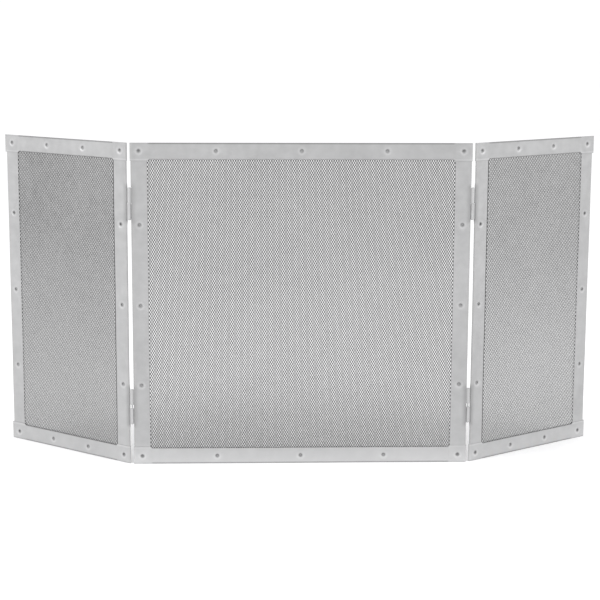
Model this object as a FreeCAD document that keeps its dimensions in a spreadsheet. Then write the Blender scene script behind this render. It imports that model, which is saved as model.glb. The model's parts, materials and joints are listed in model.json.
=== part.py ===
"""Three-leaf folding fireplace screen.

A wide centre panel carries a half-width wing on each side.  Every panel is a sheet
of expanded metal whose edges are gripped by four folded steel strips: two stiles,
and a top and a bottom rail that also wrap the ends of the stiles.  Rivets hold each
strip through the sheet.  Each wing turns on two loose-joint hinges whose leaves are
trapped inside the folded stiles, with the knuckles standing out through slots in
the folds.

Frame: +Z up, the fire side is +Y and the room side is -Y.  The origin is under the
middle of the centre panel, at floor level, half way through its thickness.
"""
import FreeCAD, Part
import os

import Sketcher

# Driving dimensions in millimetres and degrees: alias, value, what it sets.
DIMENSIONS = [
    ("panel_height", 500.0, "height of every panel over its rails"),
    ("centre_width", 520.0, "length of the centre rails"),
    ("wing_width", 260.0, "length of a wing's rails"),
    ("panel_gap", 4.0, "space between neighbouring rail ends, panels flat"),
    ("strip_face", 25.0, "width of the folded strip, seen from the front"),
    ("strip_gauge", 0.5, "sheet thickness of the strips"),
    ("bend_radius", 0.4, "inside radius of the strip's folds"),
    ("mesh_thickness", 1.2, "overall thickness of the expanded metal"),
    ("rail_overhang", 1.0, "how far a rail runs past the stile's fold"),
    ("rivet_edge", 12.3, "corner rivets to the panel's top or bottom edge"),
    ("rivet_shank", 3.0, "rivet shank diameter"),
    ("rivet_head", 5.6, "rivet head diameter"),
    ("rivet_head_rise", 0.9, "height of the domed rivet head"),
    ("rivet_tail", 4.4, "diameter of the closed rivet tail"),
    ("rivet_tail_rise", 0.8, "height of the closed rivet tail"),
    ("hole_clearance", 0.1, "rivet hole diameter less shank diameter"),
    ("wing_angle_left", 38.7, "left wing, folded back from flat"),
    ("wing_angle_right", 35.4, "right wing, folded back from flat"),
    ("pin_diameter", 2.4, "hinge pin"),
    ("pin_clearance", 0.04, "radial running clearance in the wing's knuckle"),
    ("pin_button", 4.0, "diameter of the pin's peened ends"),
    ("pin_button_rise", 0.8, "height of the pin's peened ends"),
    ("pin_end_float", 0.2, "play between the lower button and the wing's knuckle"),
    ("fold_clearance", 0.1, "knuckles to the plane of the centre stile's fold"),
    ("knuckle_length", 24.0, "height of one knuckle"),
    ("leaf_depth", 9.0, "how far a hinge leaf reaches into its stile"),
    ("leaf_clearance", 0.5, "space round a leaf in its slot and in the mesh"),
    ("upper_hinge_inset", 92.7, "middle of the upper hinge below the top edge"),
    ("lower_hinge_inset", 91.0, "middle of the lower hinge above the bottom edge"),
    ("upper_knuckle_gap", 0.4, "space between the upper hinge's knuckles"),
    ("lower_knuckle_gap", 6.0, "bare pin between the lower hinge's knuckles"),
]

CENTRE_RIVETS = 3          # rivets between the corners of a centre rail
WING_RIVETS = 2            # rivets between the corners of a wing rail
STILE_RIVETS = 3           # rivets between the corners of every stile

# Derived sizes, as expressions on the sheet's own names.
STILE_THICKNESS = "(sizes.mesh_thickness + 2 * sizes.strip_gauge)"
RAIL_THICKNESS = f"({STILE_THICKNESS} + 2 * sizes.strip_gauge)"
FOLD_DEPTH = "(sizes.strip_gauge + sizes.bend_radius)"
STILE_LENGTH = f"(sizes.panel_height - 2 * {FOLD_DEPTH})"
STILE_LINE = "(sizes.rail_overhang + sizes.strip_face / 2)"
MESH_SIDE = f"(sizes.rail_overhang + {FOLD_DEPTH})"
HOLE_RADIUS = "((sizes.rivet_shank + sizes.hole_clearance) / 2)"
PIN_RADIUS = "(sizes.pin_diameter / 2)"
KNUCKLE_RADIUS = f"({PIN_RADIUS} + sizes.pin_clearance + sizes.mesh_thickness)"
AXIS_BACK = f"({KNUCKLE_RADIUS} - sizes.mesh_thickness / 2)"
AXIS_OFFSET = f"({KNUCKLE_RADIUS} + sizes.fold_clearance)"
AXIS_SIDE = f"(sizes.centre_width / 2 - sizes.rail_overhang + {AXIS_OFFSET})"
WING_START = f"(sizes.panel_gap + sizes.rail_overhang - {AXIS_OFFSET})"
CORNER_HEIGHT = "(sizes.panel_height - 2 * sizes.rivet_edge)"

LEFT, RIGHT = -1, 1
SIDE_NAMES = {LEFT: "left", RIGHT: "right"}
HINGE_LEVELS = ("upper", "lower")

doc = FreeCAD.newDocument("FireScreen")
sizes = doc.addObject("Spreadsheet::Sheet", "sizes")


def fill_sheet():
    """Write the driving dimensions as plain numbers with an alias and a note."""
    for row, (alias, size, note) in enumerate(DIMENSIONS, start=1):
        sizes.set(f"A{row}", alias)
        sizes.set(f"B{row}", str(size))
        sizes.setAlias(f"B{row}", alias)
        sizes.set(f"C{row}", note)
    doc.recompute()


def value(expression):
    """The present value of an expression on the sheet."""
    return float(sizes.evalExpression(expression.replace("sizes.", "")))


def origin_feature(body, role):
    """One of a body's own origin planes or axes."""
    return next(item for item in body.Origin.OriginFeatures if item.Role == role)


def new_body(label):
    body = doc.addObject("PartDesign::Body", label)
    body.Label = label
    return body


def new_sketch(body, name, plane, lift="0"):
    """A sketch on one of the body's origin planes, lifted along its normal."""
    sketch = body.newObject("Sketcher::SketchObject", name)
    sketch.AttachmentSupport = [(origin_feature(body, plane), "")]
    sketch.MapMode = "FlatFace"
    sketch.setExpression("AttachmentOffset.Base.z", lift)
    return sketch


def locate(sketch, geometry, point, across, up):
    """Dimension one point of a sketch from its origin."""
    for kind, axis, place in (("DistanceX", -2, across), ("DistanceY", -1, up)):
        if place == "0":
            sketch.addConstraint(Sketcher.Constraint("PointOnObject", geometry, point, axis))
            continue
        rule = Sketcher.Constraint(kind, -1, 1, geometry, point, value(place))
        index = sketch.addConstraint(rule)
        sketch.setExpression(f"Constraints[{index}]", place)


def add_outline(sketch, corners):
    """A closed outline of straight lines through corners given as expressions."""
    first = sketch.GeometryCount
    count = len(corners)
    spots = [FreeCAD.Vector(value(across), value(up), 0) for across, up in corners]
    for index in range(count):
        sketch.addGeometry(Part.LineSegment(spots[index], spots[(index + 1) % count]))
    for index in range(count):
        following = first + (index + 1) % count
        sketch.addConstraint(Sketcher.Constraint("Coincident", first + index, 2, following, 1))
    for index, (across, up) in enumerate(corners):
        locate(sketch, first + index, 1, across, up)


def rectangle(left, bottom, right, top):
    return [(left, bottom), (right, bottom), (right, top), (left, top)]


def add_circle(sketch, across, up, radius):
    centre = FreeCAD.Vector(value(across), value(up), 0)
    index = sketch.addGeometry(Part.Circle(centre, FreeCAD.Vector(0, 0, 1), value(radius)))
    locate(sketch, index, 3, across, up)
    size = sketch.addConstraint(Sketcher.Constraint("Radius", index, value(radius)))
    sketch.setExpression(f"Constraints[{size}]", radius)


def pad(body, sketch, length, symmetric=False):
    feature = body.newObject("PartDesign::Pad", sketch.Name + "Pad")
    feature.Profile = sketch
    feature.SideType = "Symmetric" if symmetric else "One side"
    feature.setExpression("Length", length)
    doc.recompute()


def pocket(body, sketch):
    """Cut the sketch right through the body, and make sure that it did cut."""
    before = body.Shape.Volume
    feature = body.newObject("PartDesign::Pocket", sketch.Name + "Pocket")
    feature.Profile = sketch
    feature.Type = "ThroughAll"
    feature.SideType = "Symmetric"
    doc.recompute()
    if body.Shape.Volume >= before:
        raise RuntimeError(f"{sketch.Name} cuts nothing from {body.Label}")
    return feature


def hole_row(body, name, across, up, axis, count, reach):
    """A row of rivet holes: the first at a point, the last a reach along an axis."""
    sketch = new_sketch(body, f"{body.Label}_{name}", "XZ_Plane")
    add_circle(sketch, across, up, HOLE_RADIUS)
    hole = pocket(body, sketch)
    row = body.newObject("PartDesign::LinearPattern", f"{body.Label}_{name}_row")
    row.Originals = [hole]
    row.Direction = (origin_feature(body, axis), [""])
    row.Occurrences = count
    row.setExpression("Length", reach)
    body.Tip = row
    doc.recompute()


def fold_strip(label, profile_plane, length, inner_gap, thickness, toward):
    """A strip folded in half lengthways: a deep U whose fold lies on the local axis.

    The open side points along +1 or -1 on the profile's own axis.  The flat web of
    the fold is at zero, and its two bends are rounded inside and outside.
    """
    body = new_body(label)
    sketch = new_sketch(body, label + "_profile", profile_plane)
    outer, inner = f"{thickness} / 2", f"{inner_gap} / 2"
    edge, web = f"{toward} * sizes.strip_face", f"{toward} * sizes.strip_gauge"
    steps = [("-", outer, edge), ("-", outer, "0"), ("", outer, "0"), ("", outer, edge),
             ("", inner, edge), ("", inner, web), ("-", inner, web), ("-", inner, edge)]
    corners = [(f"{sign}{half}", depth) for sign, half, depth in steps]
    if profile_plane == "XY_Plane":
        corners = [(depth, half) for half, depth in corners]
    add_outline(sketch, corners)
    pad(body, sketch, length, symmetric=True)
    round_fold(body, outer, "0", f"{FOLD_DEPTH}", profile_plane)
    round_fold(body, inner, web, "sizes.bend_radius", profile_plane)
    return body


def round_fold(body, half, depth, radius, profile_plane):
    """Round the two long edges of a fold, found by where they lie."""
    long_axis = "x" if profile_plane == "YZ_Plane" else "z"
    deep_axis = "z" if profile_plane == "YZ_Plane" else "x"
    near = 0.01
    names = []
    for number, edge in enumerate(body.Shape.Edges, start=1):
        ends = [vertex.Point for vertex in edge.Vertexes]
        runs_long = abs(getattr(ends[0] - ends[-1], long_axis)) > value("sizes.strip_face")
        on_side = all(abs(abs(point.y) - value(half)) < near for point in ends)
        at_depth = all(abs(getattr(point, deep_axis) - value(depth)) < near for point in ends)
        if runs_long and on_side and at_depth:
            names.append(f"Edge{number}")
    if len(names) != 2:
        raise RuntimeError(f"{body.Label}: a fold has two long edges, found {len(names)}")
    strip = body.Tip
    rounding = body.newObject("PartDesign::Fillet", f"{body.Label}_bend_{len(body.Group)}")
    rounding.Base = (strip, names)
    rounding.setExpression("Radius", radius)
    doc.recompute()


def hinge_height(level):
    if level == "upper":
        return "(sizes.panel_height - sizes.upper_hinge_inset)"
    return "sizes.lower_hinge_inset"


def leaf_half_height(level):
    return f"(sizes.knuckle_length + sizes.{level}_knuckle_gap / 2)"


def knuckle_span(level, upper_knuckle):
    """Lower and upper end of a knuckle, from the middle of its hinge."""
    near, far = f"(sizes.{level}_knuckle_gap / 2)", leaf_half_height(level)
    return (near, far) if upper_knuckle else (f"-{far}", f"-{near}")


def make_rail(label, width, open_up, between, between_start, between_reach):
    """A top or bottom rail, centred on its length, with the fold at height zero."""
    toward = 1 if open_up else -1
    body = fold_strip(label, "YZ_Plane", width, STILE_THICKNESS, RAIL_THICKNESS, toward)
    line = f"{toward} * sizes.rivet_edge"
    half_span = f"({width} / 2 - {STILE_LINE})"
    hole_row(body, "corner_holes", f"-{half_span}", line, "X_Axis", 2, f"2 * {half_span}")
    hole_row(body, "middle_holes", between_start, line, "X_Axis", between, between_reach)
    return body


def make_stile(label, toward, hinge_knuckle=None):
    """A stile, centred on its length, with its fold at the local x of zero.

    An inner stile is slotted across the fold where the hinge leaves come out.
    """
    body = fold_strip(label, "XY_Plane", STILE_LENGTH, "sizes.mesh_thickness",
                      STILE_THICKNESS, toward)
    line = f"{toward} * sizes.strip_face / 2"
    hole_row(body, "corner_holes", line, f"-{CORNER_HEIGHT} / 2", "Z_Axis", 2, CORNER_HEIGHT)
    hole_row(body, "middle_holes", line, "-sizes.panel_height / 4", "Z_Axis",
             STILE_RIVETS, "sizes.panel_height / 2")
    if hinge_knuckle is not None:
        sketch = new_sketch(body, label + "_slots", "XZ_Plane")
        outside, inside = f"-{toward} * sizes.strip_gauge", f"{toward} * {FOLD_DEPTH}"
        for level in HINGE_LEVELS:
            low, high = knuckle_span(level, hinge_knuckle == "upper")
            middle = f"{hinge_height(level)} - sizes.panel_height / 2"
            bottom = f"{middle} + {low} - sizes.leaf_clearance"
            top = f"{middle} + {high} + sizes.leaf_clearance"
            add_outline(sketch, rectangle(outside, bottom, inside, top))
        pocket(body, sketch)
    return body


def make_mesh(label, width, between, between_start, between_reach, hinge_sides):
    """The expanded-metal sheet as a plate, notched round the hinge leaves."""
    body = new_body(label)
    half_width = f"({width} / 2 - {MESH_SIDE})"
    half_height = f"{STILE_LENGTH} / 2"
    sketch = new_sketch(body, label + "_sheet", "XZ_Plane")
    add_outline(sketch, rectangle(f"-{half_width}", f"-{half_height}", half_width, half_height))
    pad(body, sketch, "sizes.mesh_thickness", symmetric=True)
    half_span = f"({width} / 2 - {STILE_LINE})"
    for name, height in (("bottom", f"-{CORNER_HEIGHT} / 2"), ("top", f"{CORNER_HEIGHT} / 2")):
        hole_row(body, name + "_corner_holes", f"-{half_span}", height, "X_Axis", 2,
                 f"2 * {half_span}")
        hole_row(body, name + "_middle_holes", between_start, height, "X_Axis", between,
                 between_reach)
    for name, line in (("left", f"-{half_span}"), ("right", half_span)):
        hole_row(body, name + "_holes", line, "-sizes.panel_height / 4", "Z_Axis",
                 STILE_RIVETS, "sizes.panel_height / 2")
    notches = new_sketch(body, label + "_notches", "XZ_Plane")
    for side in hinge_sides:
        outside = f"{side} * ({half_width} + 1)"
        inside = f"{side} * ({half_width} - sizes.leaf_depth - sizes.leaf_clearance)"
        for level in HINGE_LEVELS:
            middle = f"{hinge_height(level)} - sizes.panel_height / 2"
            reach = f"({leaf_half_height(level)} + sizes.leaf_clearance)"
            add_outline(notches, rectangle(outside, f"{middle} - {reach}",
                                           inside, f"{middle} + {reach}"))
    pocket(body, notches)
    return body


def make_leaf(label, level, toward, fold_distance, upper_knuckle):
    """A hinge leaf: a plate inside the stile, and a knuckle rolled round the axis.

    The local origin is on the hinge axis, at the middle of the hinge.  The plate
    lies in front of the axis, tangent to the knuckle.
    """
    body = new_body(label)
    low, high = knuckle_span(level, upper_knuckle)
    front, back = f"-{KNUCKLE_RADIUS}", f"(sizes.mesh_thickness - {KNUCKLE_RADIUS})"
    seat = f"({fold_distance} + {FOLD_DEPTH})"
    bore = PIN_RADIUS if upper_knuckle else f"({PIN_RADIUS} + sizes.pin_clearance)"

    barrel = new_sketch(body, label + "_barrel", "XY_Plane", low)
    add_circle(barrel, "0", "0", KNUCKLE_RADIUS)
    pad(body, barrel, f"{high} - ({low})")
    neck = new_sketch(body, label + "_neck", "XY_Plane", low)
    add_outline(neck, rectangle("0", front, f"{toward} * ({seat} + 1)", back))
    pad(body, neck, f"{high} - ({low})")
    plate = new_sketch(body, label + "_plate", "XY_Plane", f"-{leaf_half_height(level)}")
    add_outline(plate, rectangle(f"{toward} * {seat}", front,
                                 f"{toward} * ({seat} + sizes.leaf_depth)", back))
    pad(body, plate, f"2 * {leaf_half_height(level)}")
    eye = new_sketch(body, label + "_eye", "XY_Plane")
    add_circle(eye, "0", "0", bore)
    pocket(body, eye)
    return body


def make_pin(label, level):
    """A hinge pin with peened button ends, turned about the hinge axis."""
    body = new_body(label)
    reach = leaf_half_height(level)
    shank, button = PIN_RADIUS, "sizes.pin_button / 2"
    foot = f"-({reach} + sizes.pin_end_float)"
    corners = [("0", f"{foot} - sizes.pin_button_rise"),
               (f"{button} * 0.6", f"{foot} - sizes.pin_button_rise"),
               (button, f"{foot} - sizes.pin_button_rise / 2"),
               (button, foot),
               (shank, foot),
               (shank, reach),
               (button, reach),
               (button, f"{reach} + sizes.pin_button_rise / 2"),
               (f"{button} * 0.6", f"{reach} + sizes.pin_button_rise"),
               ("0", f"{reach} + sizes.pin_button_rise")]
    sketch = new_sketch(body, label + "_profile", "XZ_Plane")
    add_outline(sketch, corners)
    turn = body.newObject("PartDesign::Revolution", label + "_turn")
    turn.Profile = sketch
    turn.ReferenceAxis = (origin_feature(body, "Z_Axis"), [""])
    turn.Angle = 360
    doc.recompute()
    return body


def rivet_solid(grip):
    """One rivet on the local Y axis: domed head in front, closed tail behind."""
    head, rise = value("sizes.rivet_head") / 2, value("sizes.rivet_head_rise")
    tail, tail_rise = value("sizes.rivet_tail") / 2, value("sizes.rivet_tail_rise")
    shank, half_grip = value("sizes.rivet_shank") / 2, grip / 2
    crown = (head**2 + rise**2) / (2 * rise)
    middle = FreeCAD.Vector(0, -half_grip - rise + crown, 0)
    forward, backward = FreeCAD.Vector(0, -1, 0), FreeCAD.Vector(0, 1, 0)
    ball = Part.makeSphere(crown, middle)
    disc = Part.makeCylinder(head, rise, FreeCAD.Vector(0, -half_grip, 0), forward)
    stem = Part.makeCylinder(shank, grip, FreeCAD.Vector(0, -half_grip, 0), backward)
    closed_end = Part.makeCone(tail, tail * 0.7, tail_rise,
                               FreeCAD.Vector(0, half_grip, 0), backward)
    return disc.common(ball).fuse([stem, closed_end]).removeSplitter()


def make_rivets(label, width, between, between_start, between_reach):
    """All rivets of a panel, as separate solids about the panel's middle."""
    span = value(f"{width} / 2 - {STILE_LINE}")
    corner = value(CORNER_HEIGHT) / 2
    start, reach = value(between_start), value(between_reach)
    rail_places = [-span, span] + [start + reach * step / (between - 1)
                                   for step in range(between)]
    stile_reach = value("sizes.panel_height") / 2
    stile_places = [stile_reach * (step / (STILE_RIVETS - 1) - 0.5)
                    for step in range(STILE_RIVETS)]
    in_rail = rivet_solid(value(RAIL_THICKNESS))
    in_stile = rivet_solid(value(STILE_THICKNESS))
    solids = []
    for height in (corner, -corner):
        for across in rail_places:
            solids.append(in_rail.translated(FreeCAD.Vector(across, 0, height)))
    for across in (-span, span):
        for height in stile_places:
            solids.append(in_stile.translated(FreeCAD.Vector(across, 0, height)))
    feature = doc.addObject("Part::Feature", label)
    feature.Label = label
    feature.Shape = Part.makeCompound(solids)
    return feature


def placement(across, deep, height, angle="0"):
    """An expression for a placement turned about the upright axis."""
    turned = f"rotation(vector(0; 0; 1); {angle})"
    return f"placement(vector({across}; {deep}; {height}); {turned})"


def hinge_frame(side):
    """Where a wing hangs: its hinge axis, turned by its resting angle."""
    angle = f"{side} * sizes.wing_angle_{SIDE_NAMES[side]}"
    return placement(f"{side} * {AXIS_SIDE}", AXIS_BACK, "0", angle)


def build_centre():
    """The centre panel and its half of the hinges."""
    width = "sizes.centre_width"
    between = (CENTRE_RIVETS, f"-{width} / 4", f"{width} / 2")
    half = f"({width} / 2 - sizes.rail_overhang)"
    middle = "sizes.panel_height / 2"
    places = [
        (make_rail("centre_top_rail", width, False, *between), "0", "sizes.panel_height"),
        (make_rail("centre_bottom_rail", width, True, *between), "0", "0"),
        (make_stile("centre_left_stile", 1, "upper"), f"-{half}", middle),
        (make_stile("centre_right_stile", -1, "upper"), half, middle),
        (make_mesh("centre_mesh", width, *between, (LEFT, RIGHT)), "0", middle),
        (make_rivets("centre_rivets", width, *between), "0", middle),
    ]
    for piece, across, height in places:
        piece.setExpression("Placement", placement(across, "0", height))
    return [piece for piece, _, _ in places]


def build_wing(side):
    """A wing, set out along x from its hinge axis and hung at its resting angle."""
    name = SIDE_NAMES[side] + "_wing"
    width = "sizes.wing_width"
    rail_span = f"({width} - 2 * {STILE_LINE})"
    between = (WING_RIVETS, f"-{rail_span} / 6", f"{rail_span} / 3")
    centre = f"{side} * ({WING_START} + {width} / 2)"
    inner = f"{side} * ({WING_START} + sizes.rail_overhang)"
    outer = f"{side} * ({WING_START} + {width} - sizes.rail_overhang)"
    middle = "sizes.panel_height / 2"
    places = [
        (make_rail(name + "_top_rail", width, False, *between), centre, "sizes.panel_height"),
        (make_rail(name + "_bottom_rail", width, True, *between), centre, "0"),
        (make_stile(name + "_inner_stile", side, "lower"), inner, middle),
        (make_stile(name + "_outer_stile", -side), outer, middle),
        (make_mesh(name + "_mesh", width, *between, (-side,)), centre, middle),
        (make_rivets(name + "_rivets", width, *between), centre, middle),
    ]
    for piece, across, height in places:
        local = placement(across, f"-{AXIS_BACK}", height)
        piece.setExpression("Placement", f"{hinge_frame(side)} * {local}")
    return [piece for piece, _, _ in places]


def build_hinge(side, level):
    """One hinge: a leaf on the centre panel, its pin, and a leaf on the wing."""
    name = f"{SIDE_NAMES[side]}_{level}_hinge"
    height = hinge_height(level)
    wing_fold = f"({WING_START} + sizes.rail_overhang)"
    fixed_leaf = make_leaf(name + "_centre_leaf", level, -side, AXIS_OFFSET, True)
    pin = make_pin(name + "_pin", level)
    wing_leaf = make_leaf(name + "_wing_leaf", level, side, wing_fold, False)
    for piece in (fixed_leaf, pin):
        piece.setExpression("Placement", placement(f"{side} * {AXIS_SIDE}", AXIS_BACK, height))
    wing_leaf.setExpression("Placement", f"{hinge_frame(side)} * {placement('0', '0', height)}")
    return [fixed_leaf, pin, wing_leaf]


def check_and_export(pieces):
    """Refuse a failed feature or a bad solid, then write one STEP file per piece."""
    for item in doc.Objects:
        if "Invalid" in item.State or "Error" in item.State:
            raise RuntimeError(f"{item.Name} failed: {item.State}")
    for piece in pieces:
        shape = piece.Shape
        if shape.isNull() or not shape.isValid() or not shape.Solids:
            raise RuntimeError(f"{piece.Label} has no valid solid")
    os.makedirs("parts", exist_ok=True)
    for piece in pieces:
        piece.Shape.exportStep(f"parts/{piece.Label}.step")
        print(f"{piece.Label}: {len(piece.Shape.Solids)} solid(s), {piece.Shape.Volume:.0f} mm3")


fill_sheet()
screen = build_centre() + build_wing(LEFT) + build_wing(RIGHT)
for hinge_side in (LEFT, RIGHT):
    for hinge_level in HINGE_LEVELS:
        screen += build_hinge(hinge_side, hinge_level)
doc.recompute()
check_and_export(screen)
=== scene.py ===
"""The looks of a folding fireplace screen of three panels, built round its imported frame.

Every panel is a sheet of expanded metal held in folded steel strips by rivets that are
set in pressed dimples. The wings hang on rolled hinges whose leaves come out of the
stiles' folds. Each panel is laid out flat in its own axes and then put in its place.
"""

import json
import math

import bpy
import numpy as np
from mathutils import Matrix


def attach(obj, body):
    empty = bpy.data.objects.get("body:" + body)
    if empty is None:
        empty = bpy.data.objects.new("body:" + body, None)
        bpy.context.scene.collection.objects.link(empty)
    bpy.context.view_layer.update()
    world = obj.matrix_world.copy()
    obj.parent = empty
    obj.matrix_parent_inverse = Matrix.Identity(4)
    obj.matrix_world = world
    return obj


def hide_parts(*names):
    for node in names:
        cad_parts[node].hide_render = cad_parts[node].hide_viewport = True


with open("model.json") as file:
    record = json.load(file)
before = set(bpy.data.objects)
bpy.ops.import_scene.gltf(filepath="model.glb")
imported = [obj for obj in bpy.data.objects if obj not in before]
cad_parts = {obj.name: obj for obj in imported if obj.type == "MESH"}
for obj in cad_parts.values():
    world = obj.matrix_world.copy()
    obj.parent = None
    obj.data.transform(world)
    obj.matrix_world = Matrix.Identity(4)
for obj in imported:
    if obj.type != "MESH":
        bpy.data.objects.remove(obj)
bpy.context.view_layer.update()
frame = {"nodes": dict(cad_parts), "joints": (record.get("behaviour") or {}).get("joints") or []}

MM = 0.001
ACROSS, BACK, UP = 0, 1, 2
SHARP_ANGLE = 38.0              # edges that turn by more degrees than this stay sharp

# Folded strips.
BEND_RADIUS = 0.9 * MM          # outside radius of the fold
LEAST_BEND = 0.02 * MM          # smallest radius left where the fold is closed flat
BEND_STEPS = 5
JOGGLE = 4.0 * MM               # length over which a rail steps down off the stile
OVERHANG = 2.4 * MM             # how far a wing's rails stand out past its outer stile
OVERHANG_RUN = 7.0 * MM         # length of rail that is drawn out to reach there
LIP_DROP = 2.4 * MM             # how much wider a rail is pressed out over a stile
LIP_FLARE = 0.12 * MM           # how far that wider lip stands off
LIP_WIDTH = 3.0 * MM            # width of the part of the face that stands off
DRAWN_WIDTH = 3 * LIP_WIDTH     # width of the part of the face that is drawn wider
REAR_EXTRA = {"inner": 3.4 * MM, "outer": -1.6 * MM}  # how much wider a wing stile's rear face is
END_PINCH = 1.9 * MM            # length over which a rail's end is closed
END_HALF = 0.56 * MM            # half the thickness of the closed end

# Places along and across a strip.
COARSE_STEP = 5.0 * MM
FINE_STEP = 0.7 * MM
FIXED_GAP = 0.6 * FINE_STEP     # how near a fixed place the others may come
LEAST_GAP = 0.2 * FINE_STEP     # how near each other they may come
LIP_STEPS = (0.0, 0.4, 1.0, 1.8, 3.0)  # from the lip, in mm
FACE_START = 4.5 * MM           # where the even steps over a face start, from the lip
FACE_STEP = 1.6 * MM
FOLD_STEPS = (5.6, 4.6, 3.6, 2.8, 2.0)  # from the fold, in mm
RAMP_SHARES = np.linspace(0.0, 1.0, 6)  # places over a bend or a fade, as shares of it
SAME = 0.001 * MM               # lengths this near each other count as the same

# Painted highlights and painted shade on the strips, each from 0 to 1.
FOLD_LINE = 1.8 * MM            # width of the painted shade line along a fold, and of a lip's painted highlight
# how strong the painted highlight is along a rail's lip where it runs over a stile
RAIL_LIP_HIGHLIGHT = {"top": 0.35, "bottom": 0.6}
# how dark the painted shade line along a rail's fold is
RAIL_FOLD_DARKNESS = {"top": 0.8, "bottom": 0.7}
OVER_STILE_SHARE = 0.8              # share of that painted shade left out over the stiles
# the same painted shade line along a stile's fold
STILE_FOLD_DARKNESS = 0.1
LIP_SHADE = 0.6                 # how dark the painted shadow line is at the very edge of a rail's lip over the mesh
LIP_EDGE = (1.0 * MM, 0.3 * MM)  # how far in from the lip that painted shadow starts and is darkest
FLOOR_LIGHT = {"centre": 0.95, "left_wing": 0.45, "right_wing": 0.6}  # painted floor bounce light: lighter near the bottom
FLOOR_LIGHT_HEIGHTS = (-0.01, 0.05)  # all of it below, none of it above

# Dimples pressed round the rivets, dips beside the hinges, and gentle swells.
DIMPLE_DEPTH = 0.6 * MM
DIMPLE_FLOOR = 2.6 * MM         # radius of the dimple's flat bottom
DIMPLE_REACH = 6.0 * MM         # radius of its rim
DIP_DEPTH = 0.95 * MM
DIP_WIDTH = 5.5 * MM
DIP_FADE = 9.0 * MM             # height over which a dip runs out above and below a hinge
DIP_DARKNESS = 0.5              # how dark the painted shade is right beside a hinge
DIP_SHADE = 9.0 * MM            # how far from the fold that painted shade reaches beside a hinge
SWELLS = (                      # wavelength, direction in degrees, height
    (0.310, 8.0, 0.22 * MM),
    (0.170, 74.0, 0.10 * MM),
    (0.083, 31.0, 0.035 * MM),
)
SWELL_SHIFT = 9.0               # turn of the swells per metre of a panel's place, in radians

# Rivets: (radius, depth) in mm, from the bottom of the head's hollow out to the shank,
# and from the shank round the closed tail.
RIVET_HEAD = (
    (0.1, 1.2), (1.3, 1.15), (1.75, 0.9), (1.85, 0.15), (1.95, -0.04), (2.15, -0.12),
    (2.4, -0.12), (2.68, -0.06), (2.8, 0.04), (2.78, 0.12), (2.05, 0.15),
)
RIVET_TAIL = (
    (2.05, -0.15), (2.15, -0.1), (2.2, 0.1), (2.0, 0.4), (1.4, 0.6), (0.6, 0.66), (0.1, 0.66),
)
RIVET_SIDES = 24
RIVET_HOLE = 1.95 * MM          # radius of the hole in the strips
SHANK_HOLE = 2.0 * MM           # radius round a rivet that is clear of mesh
ROW_WIDTH = 1.0 * MM            # how far off its row a rail's rivet may stand
RIVET_SHADE_CORE = 1.8 * MM          # radius inside which the painted shade of a rivet's head and dimple is darkest
RIVET_SHADE_EDGE = 4.2 * MM          # radius where that painted shade has faded out
DIMPLE_DARKNESS, DIMPLE_LEAN = 0.6, 0.3  # how dark the painted shade in a dimple is, and how much darker at its top, away from the light
HEAD_DARKNESS, HEAD_LEAN = 0.65, 0.35    # the same painted shade for the head inside it
RING_HIGHLIGHT, RING_LEAN = 0.28, 0.5  # how light the painted highlight ring round a dimple is, and how much less at its top
RING_START, RING_END = (3.0 * MM, 4.4 * MM), (5.0 * MM, 8.0 * MM)

# Hinges.
LEAF_CLEARANCE = 0.5 * MM
LEAF_LEVELS = 9
PLATE_EDGE = 1.6 * MM           # how far inside the fold a leaf's plate stops beside its knuckle
PLATE_STEPS = 9
LEAF_DARKNESS = 0.5             # how dark the painted shade on a leaf is up to its knuckle
LEAF_SHADE = (1.2, 0.5)         # where that fades, in radii of the roll before the pin's axis
SLOT_DEPTH = 1.4 * MM           # how far a knuckle's slot is cut into the fold
ROLL_END = 175.0                # how far the roll goes on behind the pin, in degrees
ROLL_STEPS = 36
PIN_RADIUS = 1.2 * MM
PIN_BUTTON = 0.8 * MM           # height of the button at each end
PIN_DOME = (                    # radius and height of its outline, as shares, from the end
    (0.05, 0.0), (0.45, 0.04), (0.8, 0.2), (0.97, 0.55), (1.0, 0.85), (0.94, 1.0),
)
PIN_SIDES = 28

# Expanded metal.
SHORT_WAY = 3.64 * MM           # opening to opening, sideways
LONG_WAY = 6.05 * MM            # opening to opening, upwards
OPENING = 0.56 * MM             # half the width of an opening
BOND = 1.6 * MM                 # height of the knot where the strands meet
STRAND_TURN = 0.06 * MM         # how far the edge of a strand is turned out of the sheet
METAL_HALF = 0.14 * MM          # half the thickness of a strand
SHEET_MARGIN = 1.0 * MM         # how far inside the sheet's edge the last knots stand
EDGE_DARKNESS = 0.5             # how dark the painted shadow on the mesh is right beside the strips
EDGE_SHADE = (0.8 * MM, 3.2 * MM)  # where that starts to fade and has faded out
MESH_LIGHT = {"centre": 0.4, "left_wing": 1.0, "right_wing": 1.0}  # painted light: lighter towards the floor
MESH_LIGHT_HEIGHTS = (0.06, 0.42)  # all of it below, none of it above

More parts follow.
